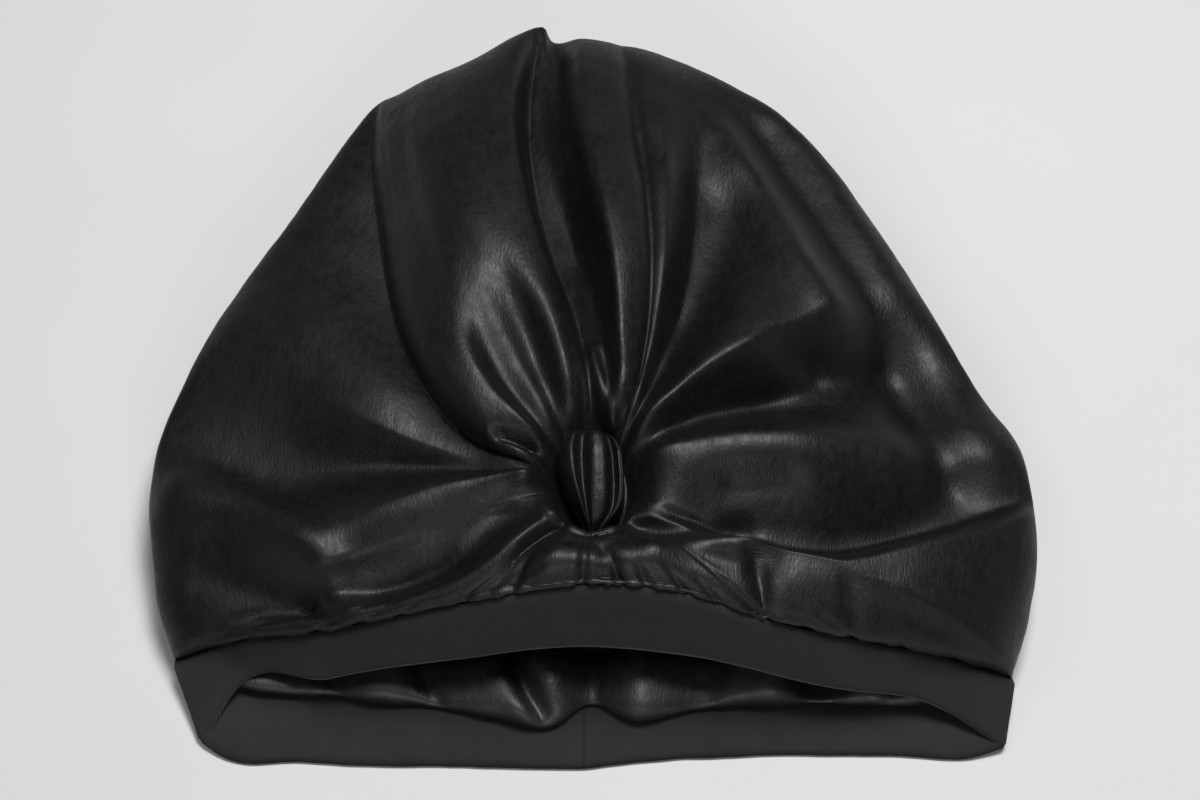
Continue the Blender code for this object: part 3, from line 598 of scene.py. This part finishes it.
def crown_piece():
    """The crown's satin: front, turned side and flat back, tucked in behind the band at the mouth."""
    bm = bmesh.new()
    grid = fine_relief(crown_front())
    rows = [[bm.verts.new(p) for p in ring] for ring in grid]
    for outer, inner in zip(rows[1:], rows):
        add_strip(bm, outer, inner)
    bm.faces.new(rows[0])
    corners = rim_curve()[[0, -1]]
    right, left = (np.argmin(np.linalg.norm(grid[-1] - c, axis=1)) for c in corners)
    count = grid.shape[1]
    order = np.arange(right, right + (left - right) % count + 1) % count
    edge = [rows[-1][j] for j in order]
    still = set(rows[0])
    turn = FLAT_SHARE + (1 - FLAT_SHARE) * np.sin(np.linspace(math.pi / 2, 0, BACK_TURN_STEPS)[1:])
    for share in (*turn, *BACK_RINGS):
        ring = [bm.verts.new(p) for p in turned_back(grid[-1, order], np.full(len(order), share))]
        add_strip(bm, ring, edge, closed=False)
        edge = ring
    middle = bm.verts.new((0, BACK_SEAM_Y, 0))
    for first, second in zip(edge, edge[1:]):
        bm.faces.new((first, middle, second))
    front = np.arange(left, left + (right - left) % count + 1) % count
    edge = [rows[-1][j] for j in front]
    from_end = np.minimum(np.arange(len(front)), np.arange(len(front))[::-1])
    taper = np.clip(from_end / HEM_TAPER_COLUMNS, 0, 1)[:, None]
    for inward, down in HEM_ROWS:
        ring = [bm.verts.new(p) for p in grid[-1, front] + taper * (0, inward, -down)]
        add_strip(bm, ring, edge, closed=False)
        still.update(ring)
        edge = ring
    bmesh.ops.remove_doubles(bm, verts=bm.verts, dist=WELD)
    still = {v for v in still if v.is_valid}
    crease_skin(bm, WRINKLES, still)
    return finished_mesh(bm, "crown_satin")


def finished_mesh(bm, name):
    """The bmesh as a smooth mesh."""
    bm.normal_update()
    mesh = bpy.data.meshes.new(name)
    bm.to_mesh(mesh)
    bm.free()
    mesh.shade_smooth()
    return mesh


def lining_loops(half=240, per_section=5):
    """Closed loops of points from the lining's mouth to its end, front half first."""
    edge_x, edge_reach, edge_rise = columns_of(LINING_EDGE)
    turn = np.linspace(0, math.pi, half)
    bow = np.sin(turn)
    stations = np.arange(len(LINING_SECTIONS))
    steps = np.arange(0, len(LINING_SECTIONS) - 1 + 1e-9, 1 / per_section)
    sections = spline(stations, columns_of(LINING_SECTIONS).T, steps)
    loops = []
    for width, follow, front_y, front_z, lip, back_y, puff, lift in sections:
        x = width * HALF_WIDTH * np.cos(turn)
        side_y = SEAM_Y + (back_y + LINING_SIDE_STEP) * CROWN_LENGTH
        side_z = np.interp(back_y, LINING_SIDE_PLACES, LINING_SIDE_HEIGHTS)
        seam = curve_at(SEAM, x) + (0, LINING_INSET, -2 * LINING_WALL)
        seam_y, seam_z = seam[:, 1] + front_y * CROWN_LENGTH, seam[:, 2]
        top_y, top_z = SEAM_Y + front_y * CROWN_LENGTH, front_z * CROWN_HEIGHT
        y = seam_y * follow + (side_y + (top_y - side_y) * bow) * (1 - follow)
        z = seam_z * follow + (side_z + (top_z - side_z) * bow**LINING_ARCH) * (1 - follow)
        blend = bow**LINING_FRONT_BLUNT
        front = np.stack([x, side_y + (y - side_y) * blend, side_z + (z - side_z) * blend], axis=1)
        reach = spline(edge_x, edge_reach, x / HALF_WIDTH) * BAND_DEPTH
        rise = np.maximum(spline(edge_x, edge_rise, x / HALF_WIDTH), LEAST_RISE) * LINING_PUFF
        for _, at_edge, shift, gather_half, depth in LINING_GATHERS:
            away = x / HALF_WIDTH - at_edge - shift * (1 - max(lip, 0))
            rise *= 1 - depth * np.exp(-((away / gather_half) ** 2))
        rest = BAND_WALL + LINING_WALL if lip > 0 else SATIN_WALL
        rest += GAP + lift * CROWN_HEIGHT
        y = SEAM_Y + back_y * CROWN_LENGTH - lip * reach
        z = rest + rise * max(puff, 0)
        blend = bow**LINING_BACK_BLUNT
        back = np.stack([x, side_y + (y - side_y) * blend, side_z + (z - side_z) * blend], axis=1)
        loops.append(np.concatenate([front, back[::-1][1:-1]]))
    return np.array(loops)


def loops_bmesh(loops, caps=(), ring=False):
    """A skin over closed loops of points, with a cap on each loop listed, or joined end to end."""
    bm = bmesh.new()
    rows = [[bm.verts.new(p) for p in loop] for loop in loops]
    for first, second in zip(rows, rows[1:] + (rows[:1] if ring else [])):
        add_strip(bm, first, second)
    for k in caps:
        bm.faces.new(rows[k])
    bmesh.ops.recalc_face_normals(bm, faces=bm.faces)
    if bm.calc_volume(signed=True) < 0:
        bmesh.ops.reverse_faces(bm, faces=bm.faces)
    return bm


def lining_piece():
    """The satin lining, which hangs inside the crown and puffs out over the back of the band."""
    bm = loops_bmesh(lining_loops(), (-1,))
    crease_skin(bm, LINING_WRINKLES, set())
    return finished_mesh(bm, "lining_satin")


def band_edges(count):
    """Upper and lower edge of the band round its loop: over the mouth to the right, then back."""
    way = eased(count)
    upper_front = curve_at(SEAM, across_from(SEAM, way)) + BAND_SEAM_STEP
    right, left = rim_curve()[[0, -1]]
    x = across_from(SEAM, way)[-2:0:-1]
    corner = np.where(x[:, None] > 0, right, left)
    upper_back = turned_back(corner, x / corner[:, 0]) + (0, BAND_BACK_STEP, BAND_WALL / 2)
    per_depth = (HALF_WIDTH, BAND_DEPTH, CROWN_HEIGHT)
    lower = []
    for table in (MOUTH_FRONT, MOUTH_BACK):
        rows = columns_of(table).T * per_depth + (0, SEAM_Y, 0)
        edge = spline(rows[:, 0], rows, across_from(table, way))
        edge[:, 2] = np.maximum(edge[:, 2], BAND_WALL / 2)
        lower.append(edge)
    return np.concatenate([upper_front, upper_back]), np.concatenate([lower[0], lower[1][-2:0:-1]])


def band_piece(count=170, per_side=12):
    """The jersey band: a doubled strip with soft edges, round its loop."""
    upper, lower = band_edges(count)
    down = lower - upper
    middle = (upper + lower) / 2
    ahead = np.roll(middle, -1, axis=0) - np.roll(middle, 1, axis=0)
    out = np.cross(down, ahead)
    out /= np.linalg.norm(out, axis=1)[:, None]
    half = BAND_WALL / 2
    across = np.linspace(0, 1, per_side + 1)
    from_edge = np.minimum(across, 1 - across)
    round_off = np.sqrt(np.clip(1 - (1 - from_edge / BAND_EDGE_SHARE) ** 2, 0, 1))
    fullness = np.where(from_edge >= BAND_EDGE_SHARE, 1, round_off)
    section = [(along, full) for along, full in zip(across, fullness)]
    section += [(along, -full) for along, full in zip(across[-2:0:-1], fullness[-2:0:-1])]
    loops = np.array([upper + down * along + out * half * full for along, full in section])
    bm = loops_bmesh(loops.transpose(1, 0, 2), ring=True)
    crease_skin(bm, BAND_WRINKLES, set())
    return finished_mesh(bm, "band_jersey")


def knot_piece(sections=46, across_count=64):
    """The twisted satin knot: lengthwise pleats that run together at its lower tip."""
    along, left, right, height, groove = columns_of(KNOT_SECTIONS)
    places, plain, grooved = columns_of(KNOT_PROFILE)
    stations = eased(sections)
    across = np.linspace(-1, 1, across_count)
    across = np.sign(across) * (1 - (1 - np.abs(across)) ** KNOT_CROWDING)
    plain = np.interp(across, places, plain)
    grooved = spline(places, grooved, across)
    base = KNOT_SEAT + GAP
    loops = []
    for way in stations:
        left_here, right_here, high, deep = (
            float(spline(along, column, np.array([way]))[0]) for column in (left, right, height, groove)
        )
        side = np.where(across < 0, left_here, right_here) * KNOT_WIDTH / 2
        x = across * side
        z = base + (plain + (grooved - plain) * deep) * high * KNOT_HEIGHT
        y = KNOT_Y + (way - 0.5) * KNOT_LENGTH
        top = np.stack([x, np.full_like(x, y), z], axis=1)
        floor = np.array([(KNOT_FOOT * x[-1], y, base), (KNOT_FOOT * x[0], y, base)])
        loops.append(np.concatenate([top, floor]))
    bm = loops_bmesh(np.array(loops), (0, -1))
    return finished_mesh(bm, "knot_satin")


def noise_node(tree, source, scale, detail, stretch=(1, 1, 1)):
    """A noise texture over object coordinates, stretched by the scales given."""
    mapping = tree.nodes.new("ShaderNodeMapping")
    mapping.inputs["Scale"].default_value = stretch
    tree.links.new(source, mapping.inputs["Vector"])
    texture = tree.nodes.new("ShaderNodeTexNoise")
    texture.inputs["Scale"].default_value = scale
    texture.inputs["Detail"].default_value = detail
    tree.links.new(mapping.outputs["Vector"], texture.inputs["Vector"])
    return texture.outputs["Fac"]


def ramp(tree, source, low, high):
    """Maps a texture's 0.3 to 0.7 to the range given."""
    node = tree.nodes.new("ShaderNodeMapRange")
    node.inputs["From Min"].default_value = 0.3
    node.inputs["From Max"].default_value = 0.7
    node.inputs["To Min"].default_value = low
    node.inputs["To Max"].default_value = high
    tree.links.new(source, node.inputs["Value"])
    return node.outputs["Result"]


def bump(tree, source, distance, before=None):
    """A bump of a given depth in metres, on top of another one."""
    node = tree.nodes.new("ShaderNodeBump")
    node.inputs["Strength"].default_value = 1.0
    node.inputs["Distance"].default_value = distance
    tree.links.new(source, node.inputs["Height"])
    if before is not None:
        tree.links.new(before, node.inputs["Normal"])
    return node.outputs["Normal"]


def satin_material(name, colour, gloss):
    """Matte-backed satin: soft broad highlights broken up by the weave's fine, mottled fibres."""
    material = bpy.data.materials.new(name)
    material.use_nodes = True
    tree = material.node_tree
    shader = tree.nodes["Principled BSDF"]
    shader.inputs["Base Color"].default_value = (*colour, 1)
    shader.inputs["Specular IOR Level"].default_value = gloss
    place = tree.nodes.new("ShaderNodeTexCoord").outputs["Object"]
    mottle = noise_node(tree, place, 420, 3, (1, 0.55, 1))
    cloudy = noise_node(tree, place, 60, 3)
    mix = tree.nodes.new("ShaderNodeMath")
    mix.operation = "ADD"
    tree.links.new(ramp(tree, mottle, *SATIN_ROUGHNESS), mix.inputs[0])
    tree.links.new(ramp(tree, cloudy, *CLOUD_ROUGHNESS), mix.inputs[1])
    tree.links.new(mix.outputs[0], shader.inputs["Roughness"])
    fibre = noise_node(tree, place, 1500, 2, (1, 0.35, 1))
    first = bump(tree, fibre, FIBRE_DEPTH)
    second = bump(tree, mottle, MOTTLE_DEPTH, first)
    tree.links.new(second, shader.inputs["Normal"])
    return material


def maths(tree, operation, first, second):
    """One arithmetic step on a value, with a number."""
    node = tree.nodes.new("ShaderNodeMath")
    node.operation = operation
    tree.links.new(first, node.inputs[0])
    node.inputs[1].default_value = second
    return node.outputs[0]


def back_seam_mask(tree, place):
    """1 on the seam line across the back of the band, 0 elsewhere."""
    split = tree.nodes.new("ShaderNodeSeparateXYZ")
    tree.links.new(place, split.inputs[0])
    from_seam = maths(tree, "SUBTRACT", split.outputs[0], BACK_SEAM_X)
    near = maths(tree, "COMPARE", from_seam, 0.0)
    near.node.inputs[2].default_value = BACK_SEAM_HALF
    low = maths(tree, "LESS_THAN", split.outputs[2], BACK_SEAM_TOP)
    both = tree.nodes.new("ShaderNodeMath")
    both.operation = "MULTIPLY"
    tree.links.new(near, both.inputs[0])
    tree.links.new(low, both.inputs[1])
    return both.outputs[0]


def jersey_material(name, colour):
    """Matte jersey: fine knit ribs, a little fuzz and no highlight."""
    material = bpy.data.materials.new(name)
    material.use_nodes = True
    tree = material.node_tree
    shader = tree.nodes["Principled BSDF"]
    shader.inputs["Roughness"].default_value = 0.85
    shader.inputs["Specular IOR Level"].default_value = 0.30
    shader.inputs["Sheen Weight"].default_value = 0.10
    shader.inputs["Sheen Roughness"].default_value = 0.5
    place = tree.nodes.new("ShaderNodeTexCoord").outputs["Object"]
    cloudy = noise_node(tree, place, 90, 4)
    colours = tree.nodes.new("ShaderNodeMix")
    colours.data_type = "RGBA"
    colours.inputs[6].default_value = (*[c * 0.85 for c in colour], 1)
    colours.inputs[7].default_value = (*[c * 1.2 for c in colour], 1)
    tree.links.new(ramp(tree, cloudy, 0, 1), colours.inputs[0])
    seam = tree.nodes.new("ShaderNodeMix")
    seam.data_type = "RGBA"
    seam.inputs[7].default_value = (*[c * 0.25 for c in colour], 1)
    tree.links.new(back_seam_mask(tree, place), seam.inputs[0])
    tree.links.new(colours.outputs[2], seam.inputs[6])
    tree.links.new(seam.outputs[2], shader.inputs["Base Color"])
    ribs = tree.nodes.new("ShaderNodeTexWave")
    ribs.inputs["Scale"].default_value = 330
    ribs.inputs["Distortion"].default_value = 1.5
    ribs.inputs["Detail"].default_value = 1
    tree.links.new(place, ribs.inputs["Vector"])
    fuzz = noise_node(tree, place, 1600, 3)
    first = bump(tree, ribs.outputs["Fac"], RIB_DEPTH)
    second = bump(tree, fuzz, FUZZ_DEPTH, first)
    tree.links.new(second, shader.inputs["Normal"])
    return material


def floor_material():
    """A plain pale matte surface."""
    material = bpy.data.materials.new("floor")
    material.use_nodes = True
    tree = material.node_tree
    shader = tree.nodes["Principled BSDF"]
    shader.inputs["Roughness"].default_value = 0.8
    shader.inputs["Specular IOR Level"].default_value = 0.2
    place = tree.nodes.new("ShaderNodeTexCoord").outputs["Object"]
    cloudy = noise_node(tree, place, 14, 4)
    colours = tree.nodes.new("ShaderNodeMix")
    colours.data_type = "RGBA"
    colours.inputs[6].default_value = (*[c * 0.985 for c in FLOOR_COLOUR], 1)
    colours.inputs[7].default_value = (*FLOOR_COLOUR, 1)
    tree.links.new(ramp(tree, cloudy, 0, 1), colours.inputs[0])
    tree.links.new(colours.outputs[2], shader.inputs["Base Color"])
    return material


def add_piece(name, mesh, material, node, wall=None):
    """A cloth piece that stands for a CAD node and hides it, hangs from the root body and takes its
    finish from a slot.
    """
    mesh.materials.append(material)
    piece = bpy.data.objects.new(name, mesh)
    bpy.context.scene.collection.objects.link(piece)
    if wall:
        shell = piece.modifiers.new("wall", "SOLIDIFY")
        shell.thickness = wall
        shell.offset = -1
        shell.use_rim = True
    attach(piece, "root")
    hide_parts(node)
    return piece


def add_light(name, place, size, power):
    """A rectangular soft light that faces the frame's origin."""
    data = bpy.data.lights.new(name, "AREA")
    data.shape = "RECTANGLE"
    data.size, data.size_y = size
    data.energy = power
    light = bpy.data.objects.new(name, data)
    bpy.context.scene.collection.objects.link(light)
    light.location = place
    light.rotation_mode = "QUATERNION"
    light.rotation_quaternion = (-Vector(place)).to_track_quat("-Z", "Y")


def add_camera():
    """The camera at the photograph's angle: from the mouth's side, high over the surface."""
    elevation = math.radians(CAMERA_ELEVATION)
    look = Vector((0, math.cos(elevation), -math.sin(elevation)))
    data = bpy.data.cameras.new("camera")
    data.lens = CAMERA_LENS
    data.sensor_width = CAMERA_SENSOR
    camera = bpy.data.objects.new("camera", data)
    bpy.context.scene.collection.objects.link(camera)
    camera.location = Vector(CAMERA_TARGET) - CAMERA_DISTANCE * look
    camera.rotation_mode = "QUATERNION"
    camera.rotation_quaternion = look.to_track_quat("-Z", "Y")
    bpy.context.scene.camera = camera


satin = satin_material("satin", SATIN_COLOUR, SATIN_GLOSS)
# The lining's satin, with its colour painted lighter than the crown's to stand in for light.
lining_satin = satin_material("lining_satin", LINING_COLOUR_PAINTED_LIGHTER, LINING_GLOSS)
jersey = jersey_material("jersey", JERSEY_COLOUR)

crown = add_piece("crown_satin", crown_piece(), satin, "crown", SATIN_WALL)
lining = add_piece("lining_satin", lining_piece(), lining_satin, "lining", SATIN_WALL)
band = add_piece("band_jersey", band_piece(), jersey, "band")
knot = add_piece("knot_satin", knot_piece(), satin, "knot")

floor_mesh = bpy.data.meshes.new("floor")
corners = [(x * FLOOR_REACH, y * FLOOR_REACH, 0) for x, y in ((-1, -1), (1, -1), (1, 1), (-1, 1))]
floor_mesh.from_pydata(corners, [], [(0, 1, 2, 3)])
floor_mesh.materials.append(floor_material())
floor = bpy.data.objects.new("floor", floor_mesh)
bpy.context.scene.collection.objects.link(floor)

add_light("key", (0.18, 0.22, 1.22), (0.46, 0.38), 22.5)
add_light("ceiling", (-0.7, 0.1, 1.1), (0.5, 0.5), 1.8)
add_light("front", (0.0, -1.00, 0.55), (0.6, 0.3), 4.2)
world = bpy.data.worlds.new("room")
bpy.context.scene.world = world
world.use_nodes = True
world.node_tree.nodes["Background"].inputs["Color"].default_value = (1, 1, 1, 1)
world.node_tree.nodes["Background"].inputs["Strength"].default_value = 0.02
bpy.context.scene.view_settings.view_transform = "Standard"

add_camera()
